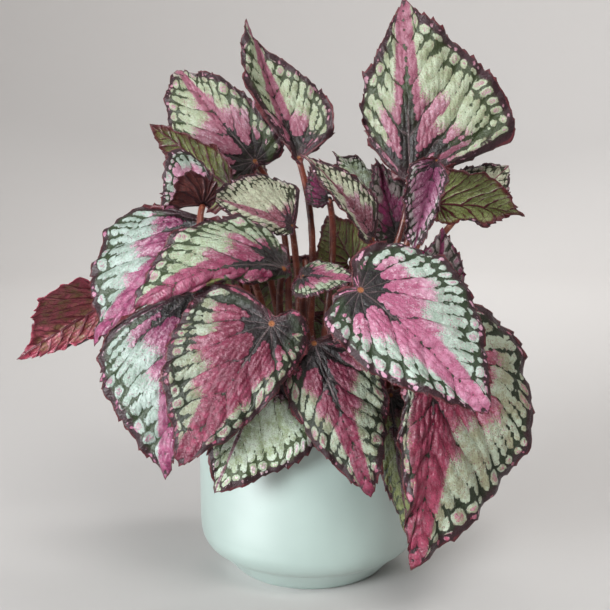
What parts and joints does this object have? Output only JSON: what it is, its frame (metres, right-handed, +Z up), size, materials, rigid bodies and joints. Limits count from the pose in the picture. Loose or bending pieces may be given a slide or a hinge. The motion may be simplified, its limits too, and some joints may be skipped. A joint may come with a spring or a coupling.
{
  "type": "potted begonia",
  "caption": "Round glazed pot holding a rex begonia, whose large waved leaves arch out on separate hairy stems.",
  "frame": {"origin": "middle of the pot's flat base, on the surface that it stands on", "axes": "+Z up along the pot's axis; the picture looks along +Y with +X to its right, so -Y is the side that shows best"},
  "size_m": [0.3282, 0.2655, 0.3571],
  "materials": {
    "mint_glaze": "satin",
    "peat": "matte",
    "leaf_rose": "satin",
    "leaf_silver": "satin",
    "leaf_red": "satin",
    "leaf_olive": "satin",
    "leaf_plum": "satin"
  },
  "bodies": {
    "root": {"pot": "mint_glaze", "soil": "peat", "leaf_upright_right": "leaf_rose", "leaf_upright_centre": "leaf_silver", "leaf_upper_left": "leaf_silver", "leaf_turned_left": "leaf_olive", "leaf_rolled_left": "leaf_red", "leaf_fan": "leaf_silver", "leaf_narrow": "leaf_rose", "leaf_folded": "leaf_rose", "leaf_turned_right": "leaf_olive", "leaf_behind_right": "leaf_silver", "leaf_left": "leaf_rose", "leaf_far_left": "leaf_red", "leaf_mid_left": "leaf_rose", "leaf_small_front": "leaf_rose", "leaf_front_left": "leaf_rose", "leaf_front_centre_left": "leaf_red", "leaf_low_pale": "leaf_silver", "leaf_front_dark": "leaf_red", "leaf_front_pink": "leaf_rose", "leaf_lower_right": "leaf_red", "leaf_sliver": "leaf_olive", "leaf_back_silver": "leaf_silver", "leaf_mid_dark": "leaf_plum", "leaf_small_purple": "leaf_plum", "leaf_behind_pink": "leaf_plum", "leaf_olive_centre": "leaf_olive", "leaf_back_left": "leaf_rose", "leaf_back_low_left": "leaf_red", "leaf_back_centre": "leaf_rose", "leaf_back_low_centre": "leaf_silver", "leaf_back_right": "leaf_rose", "leaf_back_low_right": "leaf_red", "leaf_back_upper_left": "leaf_silver", "leaf_back_upper_right": "leaf_rose", "leaf_right_low": "leaf_rose"}
  },
  "joints": []
}
